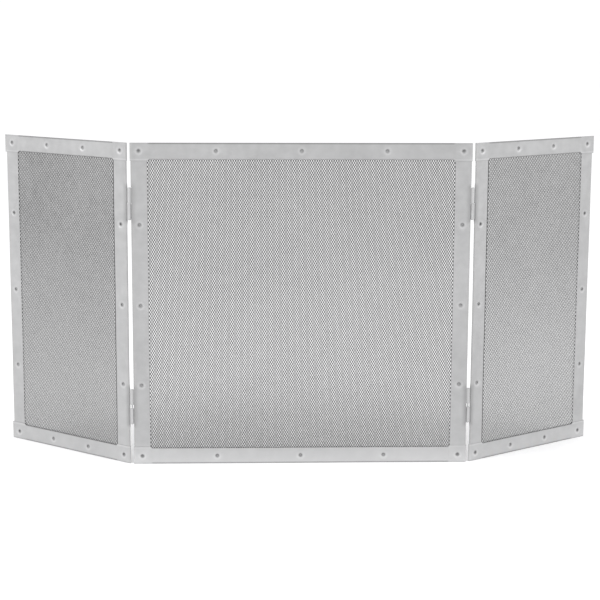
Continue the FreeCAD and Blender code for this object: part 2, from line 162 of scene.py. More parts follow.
# Bare steel: darkest and lightest grey, metallic share, roughness, scale of the grain.
STEELS = {
    "satin strip steel": (0.365, 0.425, 0.55, 0.42, 1500.0),
    # the mesh's greys are far darker than the strips': painted shade within the turned strands
    "shade-darkened expanded steel": (0.12, 0.17, 0.6, 0.45, 1500.0),
    "rivet steel": (0.34, 0.4, 0.45, 0.55, 1800.0),
    "hinge steel": (0.42, 0.48, 0.55, 0.42, 1500.0),
}
CLOUDS, MOTTLE = (9.0, 3.0), (70.0, 5.0)  # scale and detail
CLOUD_SHARE = 0.45              # how much of the tone is cloud, where the rest is mottle
TONE_RANGE = (0.36, 0.64)       # tone that is all dark and tone that is all light
DRAG_SCALE = (60.0, 60.0, 900.0)
DRAG_DETAIL = 2.0
DRAG_RANGE = (0.62, 0.72)       # drag that doesn't show and drag that shows in full
DRAG_SHARE, DRAG_LIGHT = 0.25, 1.12  # how much a drag mark shows, and its grey against light
HIGHLIGHT_SHARE, HIGHLIGHT_GREY = 0.6, 1.6    # the same for painted light
SHADE_SHARE, SHADE_GREY = 0.85, 0.35   # the same for painted shade, against dark
GRAIN_DETAIL = 3.0
GRAIN_SHARE = 0.7               # how much of the relief is grain, where the rest is mottle
RELIEF_STRENGTH, RELIEF_HEIGHT = 0.16, 0.4 * MM
ROUGHNESS_SPREAD = 0.22

# Studio.
PAPER_LEVEL, PAPER_ROUGHNESS = 0.97, 0.9
FLOOR_REACH = 30.0
FLOOR_HEIGHT = -0.02 * MM
SOFTBOX_SIZE = 1.2
SOFTBOXES = {                   # place and watts
    "left softbox": ((-1.9, -0.9, 1.5), 23.0),
    "right softbox": ((1.9, -0.9, 1.4), 16.0),
}
LIT_POINT = (0.0, 0.0, 0.2)
ROOM_LIGHT = 1.06
LENS, SENSOR = 96.4, 36.0
CAMERA_PLACE = (-0.0944, -2.4315, 0.6917)
CAMERA_YAW, CAMERA_PITCH, CAMERA_ROLL = 2.18, 10.09, 0.25  # to the right, down, and sideways


def smooth_step(values, start, end):
    """0 before start and 1 after end, with a soft ramp between."""
    share = np.clip((values - start) / (end - start), 0.0, 1.0)
    return share * share * (3.0 - 2.0 * share)


class Panel:
    """One panel of the screen, with its own axes: across from left to right, back, up."""

    def __init__(self, body, prefix, hinge_sides):
        self.body = body
        self.prefix = prefix
        plate = frame["nodes"][f"{prefix}_mesh"].data
        widest = max(plate.polygons, key=lambda polygon: polygon.area)
        level = np.array([widest.normal.x, widest.normal.y, 0.0])
        back = level / np.linalg.norm(level) * np.sign(level[1])
        self.axes = np.array([[back[1], -back[0], 0.0], back, [0.0, 0.0, 1.0]])
        self.origin = np.zeros(3)
        low, high = self.span(f"{prefix}_mesh")
        middle = (low + high) / 2
        middle[UP] = 0.0
        self.origin = middle @ self.axes
        self.rivets = self.rivet_places()
        self.hinges = []
        for side in hinge_sides:
            for height in ("upper", "lower"):
                self.hinges.append(Hinge(self, side, height))

    def local(self, points):
        """Points of the whole screen, in this panel's axes."""
        return (np.asarray(points) - self.origin) @ self.axes.T

    def world(self, points):
        """Points in this panel's axes, as points of the whole screen."""
        return np.asarray(points) @ self.axes + self.origin

    def corners(self, node):
        """Every corner of a node, in this panel's axes."""
        vertices = frame["nodes"][node].data.vertices
        points = np.empty(len(vertices) * 3)
        vertices.foreach_get("co", points)
        return self.local(points.reshape(-1, 3))

    def span(self, node):
        """Lowest and highest corner of a node, in this panel's axes."""
        points = self.corners(node)
        return points.min(axis=0), points.max(axis=0)

    def rivet_places(self):
        """Where the rivets stand, as (across, up)."""
        points = self.corners(f"{self.prefix}_rivets")[:, [ACROSS, UP]]
        places = []
        while len(points):
            near = np.linalg.norm(points - points[0], axis=1) < DIMPLE_REACH
            places.append((points[near].min(axis=0) + points[near].max(axis=0)) / 2)
            points = points[~near]
        return np.array(places)

    def push(self, across, up):
        """How far back every layer of the panel lies: swells, dimples and hinge dips."""
        total = np.zeros(np.broadcast(across, up).shape)
        for length, direction, height in SWELLS:
            turn = math.radians(direction)
            along = across * math.cos(turn) + up * math.sin(turn)
            shift = self.origin[ACROSS] * SWELL_SHIFT
            total += height * np.sin(2 * math.pi * along / length + shift)
        for place_across, place_up in self.rivets:
            radius = np.hypot(across - place_across, up - place_up)
            total += DIMPLE_DEPTH * (1 - smooth_step(radius, DIMPLE_FLOOR, DIMPLE_REACH))
        return total + DIP_DEPTH * self.dip_share(across, up, DIP_WIDTH)

    def dip_share(self, across, up, width):
        """1 at the fold beside a hinge, fading to 0 a width away from it."""
        total = np.zeros(np.broadcast(across, up).shape)
        for hinge in self.hinges:
            beside = 1 - smooth_step(np.abs(across - hinge.fold), 0.0, width)
            above = 1 - smooth_step(up, hinge.high, hinge.high + DIP_FADE)
            below = smooth_step(up, hinge.low - DIP_FADE, hinge.low)
            total += beside * above * below
        return total

    def free_side(self):
        """The side of a wing that has no hinges, as -1 or 1, and 0 for the centre panel."""
        return -np.sign(sum(hinge.outward for hinge in self.hinges))


class Hinge:
    """Where one hinge meets a panel, in that panel's axes.

    axis is a point on its pin's line, outward the side that it stands on, fold the place of
    the stile's fold beside it, and reach how far its leaf goes into the stile.
    """

    def __init__(self, panel, side, height):
        self.name = f"{side}_{height}_hinge"
        if panel.prefix == "centre":
            self.leaf, stile = f"{self.name}_centre_leaf", f"centre_{side}_stile"
        else:
            self.leaf, stile = f"{self.name}_wing_leaf", f"{panel.prefix}_inner_stile"
        joint = next(joint for joint in frame["joints"] if joint["name"] == f"{side}_wing_fold")
        self.axis = panel.local(joint["pos_m"])
        self.outward = float(np.sign(self.axis[ACROSS]))
        stile_low, stile_high = panel.span(stile)
        self.fold = (stile_high if self.outward > 0 else stile_low)[ACROSS]
        pin_low, pin_high = panel.span(f"{self.name}_pin")
        self.low, self.high = pin_low[UP], pin_high[UP]
        leaf_low, leaf_high = panel.span(self.leaf)
        self.leaf_low, self.leaf_high = leaf_low[UP], leaf_high[UP]
        inner_end = (leaf_low if self.outward > 0 else leaf_high)[ACROSS]
        self.reach = abs(self.fold - inner_end)
        leaf = panel.corners(self.leaf)
        knuckle = leaf[(leaf[:, ACROSS] - self.fold) * self.outward > LEAF_CLEARANCE, UP]
        self.knuckle_low, self.knuckle_high = knuckle.min(), knuckle.max()


def new_piece(name, points, faces, finish, body, nodes, marks=None):
    """A mesh object from points and lists of faces, riding on a body in place of its nodes.

    marks holds a number from 0 to 1 for each point, under the name its finish reads.
    """
    corners = np.concatenate([face.ravel() for face in faces])
    counts = np.concatenate([np.full(len(face), face.shape[1]) for face in faces])
    used, corners = np.unique(corners, return_inverse=True)
    mesh = bpy.data.meshes.new(name)
    mesh.vertices.add(len(used))
    mesh.vertices.foreach_set("co", points[used].astype(np.float32).ravel())
    mesh.loops.add(len(corners))
    mesh.loops.foreach_set("vertex_index", corners.astype(np.int32).ravel())
    mesh.polygons.add(len(counts))
    starts = np.concatenate([[0], np.cumsum(counts)[:-1]])
    mesh.polygons.foreach_set("loop_start", starts.astype(np.int32))
    mesh.update(calc_edges=True)
    for mark, amounts in (marks or {}).items():
        attribute = mesh.attributes.new(mark, "FLOAT", "POINT")
        attribute.data.foreach_set("value", amounts[used].astype(np.float32))
    mesh.validate()
    mesh.shade_smooth()
    mesh.set_sharp_from_angle(angle=math.radians(SHARP_ANGLE))
    mesh.materials.append(finish)
    piece = bpy.data.objects.new(name, mesh)
    bpy.context.scene.collection.objects.link(piece)
    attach(piece, body)
    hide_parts(*nodes)


def volume(points, faces):
    """Signed volume inside a closed set of faces."""
    total = 0.0
    for face in faces:
        for second in range(1, face.shape[1] - 1):
            cross = np.cross(points[face[:, second]], points[face[:, second + 1]])
            total += float((points[face[:, 0]] * cross).sum()) / 6
    return total


def outward_faces(points, faces):
    """The same faces, turned so that they look out of the solid."""
    if volume(points, faces) < 0:
        return [face[:, ::-1] for face in faces]
    return faces


def thick_sheet(front, rear, cells):
    """A closed solid between two matching skins, walled round every open edge."""
    count = len(front)
    edges = np.concatenate([
        np.stack([cell, np.roll(cell, -1, axis=1)], axis=-1).reshape(-1, 2) for cell in cells
    ])
    forward = edges[:, 0] * count + edges[:, 1]
    backward = edges[:, 1] * count + edges[:, 0]
    rim = edges[~np.isin(forward, backward)]
    walls = np.column_stack([rim[:, 1], rim[:, 0], rim[:, 0] + count, rim[:, 1] + count])
    faces = [*cells, *[cell[:, ::-1] + count for cell in cells], walls]
    points = np.concatenate([front, rear])
    return points, outward_faces(points, faces)


def grid_cells(rows, columns, keep):
    """The four-cornered cells of a grid of points, without those that keep leaves out."""
    corner = np.arange(rows * columns).reshape(rows, columns)
    cells = np.stack(
        [corner[:-1, :-1], corner[1:, :-1], corner[1:, 1:], corner[:-1, 1:]], axis=-1
    )
    return cells[keep]


def turned(profile, sides):
    """A turned solid about the third axis from (radius, height) pairs, end to end."""
    profile = np.asarray(profile, float)
    angles = np.linspace(0, 2 * math.pi, sides, endpoint=False)
    rings = len(profile)
    points = np.empty((rings, sides, 3))
    points[..., 0] = profile[:, :1] * np.cos(angles)
    points[..., 1] = profile[:, :1] * np.sin(angles)
    points[..., 2] = profile[:, 1:]
    corner = np.arange(rings * sides).reshape(rings, sides)
    following = np.roll(corner, -1, axis=1)
    quads = np.stack([corner[:-1], corner[1:], following[1:], following[:-1]], axis=-1)
    caps = np.stack([corner[0], corner[-1][::-1]])
    points = points.reshape(-1, 3)
    return points, outward_faces(points, [quads.reshape(-1, 4), caps])


def stations(low, high, spots, extra):
    """Places along a strip: close together round its rivets' spots, wide apart elsewhere."""
    coarse = np.linspace(low, high, max(2, round((high - low) / COARSE_STEP)))
    round_spot = np.arange(-DIMPLE_REACH, DIMPLE_REACH + FINE_STEP / 2, FINE_STEP)
    close = [spot + round_spot for spot in spots]
    places = np.unique(np.concatenate([coarse, *close]))
    fixed = np.array([low, high, *extra])
    places = places[np.abs(places[:, None] - fixed).min(axis=1) > FIXED_GAP]
    places = places[np.append(True, np.diff(places) > LEAST_GAP)]
    places = np.sort(np.concatenate([places, fixed]))
    return places[(places >= low) & (places <= high)]


def inward_steps(face, rivet_line):
    """Distances from the lip of a strip in to its bend, closer over the rivets."""
    steps = np.concatenate([
        face - np.array(LIP_STEPS) * MM,
        np.arange(face - FACE_START, rivet_line + DIMPLE_REACH, -FACE_STEP),
        np.arange(rivet_line + DIMPLE_REACH, rivet_line - DIMPLE_REACH, -FINE_STEP),
        np.array(FOLD_STEPS) * MM,
        [SLOT_DEPTH],
    ])
    return np.unique(steps)[::-1]


def folded_skins(flat, half, gauge, widen, flare, rear_extra):
    """Outer and inner skin of a folded strip, as (inward, depth) grids, lip to lip.

    flat holds the distances from the fold, from the lip inwards. half, widen and flare say,
    for each station, how far the outside is from the middle, how much wider the faces are
    and how far their lips stand off.
    """
    bend = np.linspace(0, math.pi / 2, BEND_STEPS)
    lip = smooth_step(flat, flat[0] - LIP_WIDTH, flat[0])
    drawn = smooth_step(flat, flat[0] - DRAWN_WIDTH, flat[0])
    outside = np.minimum(BEND_RADIUS, half - LEAST_BEND)[:, None]
    skins = []
    for cover in (0.0, gauge):
        radius = np.maximum(outside - cover, LEAST_BEND)
        flat_depth = -half[:, None] + cover - flare[:, None] * lip
        bend_inward = outside - radius * np.sin(bend)
        bend_depth = -half[:, None] + outside - radius * np.cos(bend)
        front = np.concatenate([flat + widen[:, None] * drawn, bend_inward], axis=1)
        rear = np.concatenate([flat + (widen[:, None] + rear_extra) * drawn, bend_inward], axis=1)
        depth = np.concatenate([flat_depth, bend_depth], axis=1)
        skins.append((
            np.concatenate([front, rear[:, ::-1]], axis=1),
            np.concatenate([depth, -depth[:, ::-1]], axis=1),
        ))
    return skins


class Strip:
    """Where a folded strip of a panel lies: its fold, its faces and its own rivets."""

    def __init__(self, panel, name, upright):
        self.panel = panel
        self.name = name
        self.upright = upright
        self.low, self.high = panel.span(name)
        wide, self.along = (ACROSS, UP) if upright else (UP, ACROSS)
        self.face = self.high[wide] - self.low[wide]
        sheet_low, sheet_high = panel.span(f"{panel.prefix}_mesh")
        if self.low[wide] < (sheet_low[wide] + sheet_high[wide]) / 2:
            self.edge, self.direction = self.low[wide], 1
        else:
            self.edge, self.direction = self.high[wide], -1
        aside, run = (0, 1) if upright else (1, 0)
        own = panel.rivets[np.abs(panel.rivets[:, aside] - self.edge) < self.face]
        self.rivet_spots = own[:, run]
        self.rivet_line = abs(own[0, aside] - self.edge)

    def places(self, extra):
        """Places along the strip from end to end, with the extra ones among them."""
        return stations(self.low[self.along], self.high[self.along], self.rivet_spots, extra)

    def wear(self, across, up, inward, lips, folds):
        """How much painted shade and painted light each point of a skin gets.

        lips and folds say, for each station, how strong the painted highlight on the lips is and
        how dark the painted shade along the fold is.
        """
        lips, folds = lips[:, None], folds[:, None]
        lip_line = inward[:, :1]
        near_fold = 1 - smooth_step(inward, FOLD_LINE * 0.5, FOLD_LINE * 1.5)
        near_lip = smooth_step(inward, lip_line - 2 * FOLD_LINE, lip_line - FOLD_LINE)
        # painted shade beside the hinges
        beside_hinge = DIP_DARKNESS * self.panel.dip_share(across, up, DIP_SHADE)
        # painted shade line along the fold, or beside a hinge, whichever is darker
        shade = np.maximum(beside_hinge, folds * near_fold)
        # painted shadow line at the very edge of a rail's lip over the mesh
        if not self.upright:
            at_edge = smooth_step(inward, lip_line - LIP_EDGE[0], lip_line - LIP_EDGE[1])
            shade = np.maximum(shade, LIP_SHADE * (1 - lips) * at_edge)
        # painted light from the floor near the bottom, and the lips' painted highlight
        base = 1 - smooth_step(up, *FLOOR_LIGHT_HEIGHTS)
        painted_light = np.maximum(lips * near_lip, FLOOR_LIGHT[self.panel.prefix] * base)
        ring = 0.0
        # painted shade in each dimple, darker at its top, and a painted highlight ring, lighter at
        # its bottom
        for place_across, place_up in self.panel.rivets:
            radius = np.hypot(across - place_across, up - place_up)
            upper = (up - place_up) / np.maximum(radius, RIVET_SHADE_EDGE)
            dimple = 1 - smooth_step(radius, RIVET_SHADE_CORE, RIVET_SHADE_EDGE)
            shade = np.maximum(shade, (DIMPLE_DARKNESS + DIMPLE_LEAN * upper) * dimple)
            ring_band = smooth_step(radius, *RING_START) * (1 - smooth_step(radius, *RING_END))
            ring = ring + RING_HIGHLIGHT * (1 - RING_LEAN * upper) * ring_band
        return shade.ravel(), np.minimum(painted_light + ring, 1.0).ravel()

    def kept_cells(self, places, outer_inward, slots):
        """Which cells of the skins stay when the slots are cut and the rivets' holes punched."""
        middles = (places[:-1] + places[1:]) / 2
        keep = np.ones((len(middles), len(outer_inward) - 1), bool)
        shallow = np.maximum(outer_inward[:-1], outer_inward[1:]) < SLOT_DEPTH + SAME
        for low, high in slots:
            keep &= ~(((middles > low) & (middles < high))[:, None] & shallow)
        cell_inward = (outer_inward[:-1] + outer_inward[1:]) / 2
        for rivet in self.panel.rivets:
            aside, along = rivet if self.upright else rivet[::-1]
            off_line = cell_inward - (aside - self.edge) * self.direction
            keep &= np.hypot(middles[:, None] - along, off_line) > RIVET_HOLE
        return keep

    def make(self, places, slide, skins, slots, lips, folds, finish):
        """Make the strip's piece. slide says how far each station is drawn out along it."""
        grids, shade, painted_light = [], [], []
        for inward, depth in skins:
            side = self.edge + self.direction * inward
            run = np.broadcast_to((places + slide)[:, None], inward.shape)
            across, up = (side, run) if self.upright else (run, side)
            points = np.stack([across, depth + self.panel.push(across, up), up], axis=-1)
            grids.append(self.panel.world(points.reshape(-1, 3)))
            skin_shade, skin_light = self.wear(across, up, inward, lips, folds)
            shade.append(skin_shade)
            painted_light.append(skin_light)
        outer = skins[0][0]
        keep = self.kept_cells(places, outer[0], slots)
        points, faces = thick_sheet(*grids, [grid_cells(*outer.shape, keep)])
        # marks of painted shade and painted light, which the finish reads
        marks = {"painted_shade": np.concatenate(shade), "painted_light": np.concatenate(painted_light)}
        body = self.panel.body
        new_piece(self.name, points, faces, finish, body, [self.name], marks)


def make_rail(panel, which, gauge, half_stile, stile_inner, finish):
    """A top or bottom rail, stepped down between the stiles."""
    strip = Strip(panel, f"{panel.prefix}_{which}_rail", upright=False)
    end = strip.high[ACROSS]
    bends = np.concatenate([
        stile_inner - JOGGLE * RAMP_SHARES, end - END_PINCH * RAMP_SHARES[1:]
    ])
    places = strip.places([*bends, *-bends])
    over = smooth_step(np.abs(places), stile_inner - JOGGLE, stile_inner)
    half = half_stile + gauge * over
    half += (END_HALF - half) * smooth_step(np.abs(places), end - END_PINCH, end)
    flat = inward_steps(strip.face, strip.rivet_line)
    skins = folded_skins(flat, half, gauge, LIP_DROP * over, LIP_FLARE * over, 0.0)
    free = panel.free_side()
    slide = free * OVERHANG * smooth_step(places * free, end - OVERHANG_RUN, end)
    # painted highlight along the lips where they run over the stiles
    lips = RAIL_LIP_HIGHLIGHT[which] * over
    # the painted shade line along the fold, mostly left out over the stiles
    folds = RAIL_FOLD_DARKNESS[which] * (1 - OVER_STILE_SHARE * over)
    strip.make(places, slide, skins, [], lips, folds, finish)


def make_stile(panel, which, gauge, finish):
    """An upright strip over the side edge of the mesh."""
    strip = Strip(panel, f"{panel.prefix}_{which}_stile", upright=True)
    slots, extra = [], []
    for hinge in panel.hinges:
        if abs(hinge.fold - strip.edge) < strip.face:
            slots.append((hinge.knuckle_low - LEAF_CLEARANCE, hinge.knuckle_high + LEAF_CLEARANCE))
            extra.extend(hinge.low - DIP_FADE * RAMP_SHARES)
            extra.extend(hinge.high + DIP_FADE * RAMP_SHARES)
    extra.extend(end for slot in slots for end in slot)
    places = strip.places(extra)
    zero = np.zeros(len(places))
    half = zero + (strip.high[BACK] - strip.low[BACK]) / 2
    flat = inward_steps(strip.face, strip.rivet_line)
    skins = folded_skins(flat, half, gauge, zero, zero, REAR_EXTRA.get(which, 0.0))
    folds = zero + STILE_FOLD_DARKNESS
    strip.make(places, zero, skins, slots, zero, folds, finish)


def make_rivets(panel, half_stile, gauge, stile_inner, finish):
    """Every rivet of a panel: a dished head in its dimple, and a closed tail behind."""
    points, faces, shade, count = [], [], [], 0
    lowest, highest = panel.rivets[:, 1].min(), panel.rivets[:, 1].max()
    for across, up in panel.rivets:
        in_rail = min(up - lowest, highest - up) < ROW_WIDTH
        on_corner = in_rail and abs(across) > stile_inner
        half = half_stile + (gauge if on_corner else 0.0)
        head = [(radius * MM, depth * MM - half) for radius, depth in RIVET_HEAD]
        tail = [(radius * MM, depth * MM + half) for radius, depth in RIVET_TAIL]
        shape, shape_faces = turned(head + tail, RIVET_SIDES)
        placed = np.stack([shape[:, 0] + across, shape[:, 2], shape[:, 1] + up], axis=-1)
        placed[:, BACK] += panel.push(across, up)
        points.append(panel.world(placed))
        faces.append([face + count for face in shape_faces])
        # painted shade in the head's hollow, darker at its top
        inside = 1 - smooth_step(np.hypot(shape[:, 0], shape[:, 1]), RIVET_SHADE_CORE, RIVET_SHADE_EDGE)
        inside *= HEAD_DARKNESS + HEAD_LEAN * np.clip(shape[:, 1] / RIVET_SHADE_CORE, -1, 1)
        shade.append(inside * (shape[:, 2] < 0))
        count += len(shape)
    points = np.concatenate(points)
    faces = outward_faces(points, [np.concatenate(group) for group in zip(*faces)])
    name = f"{panel.prefix}_rivets"
    marks = {"painted_shade": np.concatenate(shade)}
    new_piece(name, points, faces, finish, panel.body, [name], marks)


def leaf_line(panel, hinge, up, thickness):
    """Front, rear and painted shade of a leaf at one height, from inside the stile round the pin.
    """
    inward = np.append(np.linspace(hinge.reach, PLATE_EDGE, PLATE_STEPS), 0.0)
    across = hinge.fold - hinge.outward * inward
    middle = panel.push(across, up)
    away = hinge.outward * (hinge.axis[ACROSS] - hinge.fold)
    radius = hinge.axis[BACK]
    drop = hinge.axis[BACK] - middle[-1]
    distance = math.hypot(away, drop)
    start = math.pi - math.atan2(drop, away) - math.acos(min(1.0, radius / distance))
    angles = np.linspace(start, -math.radians(ROLL_END), ROLL_STEPS)
    outward = np.concatenate([-inward, away + radius * np.cos(angles)])
    depth = np.concatenate([middle, hinge.axis[BACK] - radius * np.sin(angles)])
    normal_out = np.concatenate([np.zeros_like(inward), np.cos(angles)])
    normal_depth = np.concatenate([-np.ones_like(inward), -np.sin(angles)])
    faces = []
    for offset in (thickness / 2, -thickness / 2):
        faces.append(np.stack([
            hinge.fold + hinge.outward * (outward + normal_out * offset),
            depth + normal_depth * offset,
            np.full(len(outward), up),
        ], axis=-1))
    fade_start, fade_end = (away - share * radius for share in LEAF_SHADE)
    # painted shade on the plate and neck, fading out before the front of the knuckle
    shade = LEAF_DARKNESS * (1 - smooth_step(outward, fade_start, fade_end))
    return [*faces, shade]


def make_leaf(panel, hinge, thickness, finish):
    """A hinge leaf: a plate inside the stile's fold, and a knuckle rolled round the pin."""
    knuckle_above = hinge.knuckle_low > hinge.leaf_low + LEAF_CLEARANCE
    knuckle_end = hinge.knuckle_low if knuckle_above else hinge.knuckle_high
    levels = np.sort([*np.linspace(hinge.leaf_low, hinge.leaf_high, LEAF_LEVELS), knuckle_end])
    lines = [leaf_line(panel, hinge, up, thickness) for up in levels]
    front, rear, shade = (np.stack(part) for part in zip(*lines))
    rows, columns = front.shape[:2]
    middles = (levels[:-1] + levels[1:]) / 2
    beside = (middles < hinge.knuckle_low) | (middles > hinge.knuckle_high)
    keep = ~(beside[:, None] & (np.arange(columns - 1) >= PLATE_STEPS - 1))
    points, faces = thick_sheet(
        panel.world(front.reshape(-1, 3)), panel.world(rear.reshape(-1, 3)),
        [grid_cells(rows, columns, keep)],
    )
    # the painted shade, on both skins
    marks = {"painted_shade": np.tile(shade.ravel(), 2)}
    leaf = hinge.leaf
    new_piece(leaf, points, faces, finish, panel.body, [leaf], marks)


def make_pin(panel, hinge, finish):
    """A hinge pin with a domed, peened button at each end."""
    name = f"{hinge.name}_pin"
    low, high = panel.span(name)
    button = (high[ACROSS] - low[ACROSS]) / 2
    lower = [(share * button, low[UP] + height * PIN_BUTTON) for share, height in PIN_DOME]
    upper = [(share * button, high[UP] - height * PIN_BUTTON) for share, height in PIN_DOME[::-1]]
    shaft = [(PIN_RADIUS, low[UP] + PIN_BUTTON), (PIN_RADIUS, high[UP] - PIN_BUTTON)]
    shape, faces = turned(lower + shaft + upper, PIN_SIDES)
    points = panel.world(shape + [hinge.axis[ACROSS], hinge.axis[BACK], 0.0])
    new_piece(name, points, faces, finish, panel.body, [name])


def knot_grid(panel, low, high):
    """The columns of the sheet's knots, where they stand, and which of them are there."""
    step_across, step_up = SHORT_WAY / 2, LONG_WAY / 2
    columns = int((high[ACROSS] - SHEET_MARGIN) / step_across)
    rows = int((high[UP] - low[UP] - 2 * SHEET_MARGIN) / step_up)
    column, row = np.meshgrid(np.arange(-columns, columns + 1), np.arange(1, rows))
    across = column * step_across
    up = low[UP] + row * step_up
    present = (column + row) % 2 == 1
    for place_across, place_up in panel.rivets:
        present &= np.hypot(across - place_across, up - place_up) > SHANK_HOLE
    for hinge in panel.hinges:
        beside = np.abs(across - hinge.fold) < hinge.reach + 2 * LEAF_CLEARANCE + step_across
        present &= ~(beside & (up > hinge.leaf_low - step_up) & (up < hinge.leaf_high + step_up))
    return column, across, up, present


def sheet_marks(panel, opening, across, up):
    """Painted light on the sheet towards the floor, and painted shadow on it beside the strips."""
    # painted light on the mesh, stronger towards the floor
    light = MESH_LIGHT[panel.prefix] * (1 - smooth_step(up, *MESH_LIGHT_HEIGHTS))
    half_width, bottom, top = opening
    from_lip = np.minimum(half_width - np.abs(across), np.minimum(up - bottom, top - up))
    # painted shadow on the mesh beside the strips
    shade = EDGE_DARKNESS * (1 - smooth_step(from_lip, *EDGE_SHADE))
    return {"painted_light": np.tile(light.ravel(), 2), "painted_shade": np.tile(shade.ravel(), 2)}


def make_expanded_metal(panel, opening, bands, finish):
    """A sheet of expanded metal: knots joined by turned strands round six-sided openings.

    opening is half the width between the stiles and the heights of the rails' lips. The
    sheet is made in upright bands, which are named in order from the left.
    """
    name = f"{panel.prefix}_mesh"
    column, across, up, present = knot_grid(panel, *panel.span(name))
    # A knot's six corners go from the lower left, round by the right, to the upper left.
    half_knot = SHORT_WAY / 2 - OPENING
    corner_across = half_knot * np.array([-1, 0, 1, 1, 0, -1])
    corner_up = BOND / 2 * np.array([-1, -1, -1, 1, 1, 1])
    corner_depth = STRAND_TURN * np.array([-1, 0, 1, 1, 0, -1])
    all_across = across[..., None] + corner_across
    all_up = up[..., None] + corner_up
    depth = corner_depth + panel.push(all_across, all_up)
    skins = []
    for offset in (-METAL_HALF, METAL_HALF):
        points = np.stack([all_across, depth + offset, all_up], axis=-1)
        skins.append(panel.world(points.reshape(-1, 3)))
    first = np.arange(present.size).reshape(present.shape) * len(corner_across)
    knots = first[..., None] + np.arange(len(corner_across))
    to_right = present[:-1, :-1] & present[1:, 1:]
    right = np.stack([
        first[:-1, :-1] + 4, first[:-1, :-1] + 3, first[1:, 1:] + 1, first[1:, 1:] + 0
    ], axis=-1)
    to_left = present[:-1, 1:] & present[1:, :-1]
    left = np.stack([
        first[:-1, 1:] + 5, first[:-1, 1:] + 4, first[1:, :-1] + 2, first[1:, :-1] + 1
    ], axis=-1)
    marks = sheet_marks(panel, opening, all_across, all_up)
    limits = np.linspace(column.min() - 1, column.max() + 1, bands + 1)
    for band in range(bands):
        inside = (column > limits[band]) & (column <= limits[band + 1])
        strands = [right[to_right & inside[:-1, :-1]], left[to_left & inside[:-1, 1:]]]
        cells = [knots[present & inside], np.concatenate(strands)]
        points, faces = thick_sheet(*skins, cells)
        piece_name = f"{name}_{band + 1}"
        new_piece(piece_name, points, faces, finish, panel.body, [name], marks)


class Wire:
    """One output of a node, with arithmetic that adds Math nodes."""

    def __init__(self, finish, socket):
        self.finish = finish
        self.socket = socket

    def joined(self, operation, first, second):
        return self.finish.node("ShaderNodeMath", {"operation": operation}, {0: first, 1: second})

    def __add__(self, other):
        return self.joined("ADD", self, other)

    def __mul__(self, other):
        return self.joined("MULTIPLY", self, other)

    def __sub__(self, other):
        return self.joined("SUBTRACT", self, other)

    def __rsub__(self, other):
        return self.joined("SUBTRACT", other, self)

    __radd__ = __add__
    __rmul__ = __mul__


class Finish:
    """A material and the nodes that make it."""

    def __init__(self, name):
        self.material = bpy.data.materials.new(name)
        self.material.use_nodes = True
        self.tree = self.material.node_tree
        self.tree.nodes.clear()

    def socket(self, sockets, key):
        """A socket by its place, name or identifier."""
        by_identifier = {socket.identifier: socket for socket in sockets}
        return by_identifier.get(key) or sockets[key]

    def node(self, kind, settings, sockets, output=0):
        """Add a node: first its settings, then the values or links of its sockets."""
        added = self.tree.nodes.new(kind)
        for key, setting in settings.items():
            if key == "stops":
                self.set_stops(added.color_ramp, setting)
            else:
                setattr(added, key, setting)
        for key, given in sockets.items():
            socket = self.socket(added.inputs, key)
            if isinstance(given, Wire):
                self.tree.links.new(given.socket, socket)
            else:
                socket.default_value = given
        if added.outputs:
            return Wire(self, self.socket(added.outputs, output))

    def set_stops(self, ramp, stops):
        """Put a ramp's two stops at (position, level)."""
        for element, (position, level) in zip(ramp.elements, stops):
            element.position = position
            element.color = (level, level, level, 1.0)

    def noise(self, place, scale, detail):
        """Cloudy noise, finer at a larger scale."""
        return self.node(
            "ShaderNodeTexNoise", {}, {"Vector": place, "Scale": scale, "Detail": detail}
        )

    def ramp(self, value, start, end):
        """0 up to start and 1 from end on."""
        stops = ((start, 0.0), (end, 1.0))
        return self.node("ShaderNodeValToRGB", {"stops": stops}, {"Fac": value})

    def mark(self, name):
        """A mark that the mesh carries, as the pieces' marks name it."""
        return self.node("ShaderNodeAttribute", {"attribute_name": name}, {}, "Fac")

    def blend(self, share, first, second):
        """A colour between two colours."""
        return self.node(
            "ShaderNodeMix", {"data_type": "RGBA"},
            {"Factor_Float": share, "A_Color": first, "B_Color": second}, "Result_Color",
        )

    def surfaced(self, sockets):
        """The material, with a surface of these sockets at its output."""
        surface = self.node("ShaderNodeBsdfPrincipled", {}, sockets)
        self.node("ShaderNodeOutputMaterial", {}, {"Surface": surface})
        return self.material


def grey(level):
    """A grey with a very slight cool cast."""
    return (level, level, level * 1.006, 1.0)


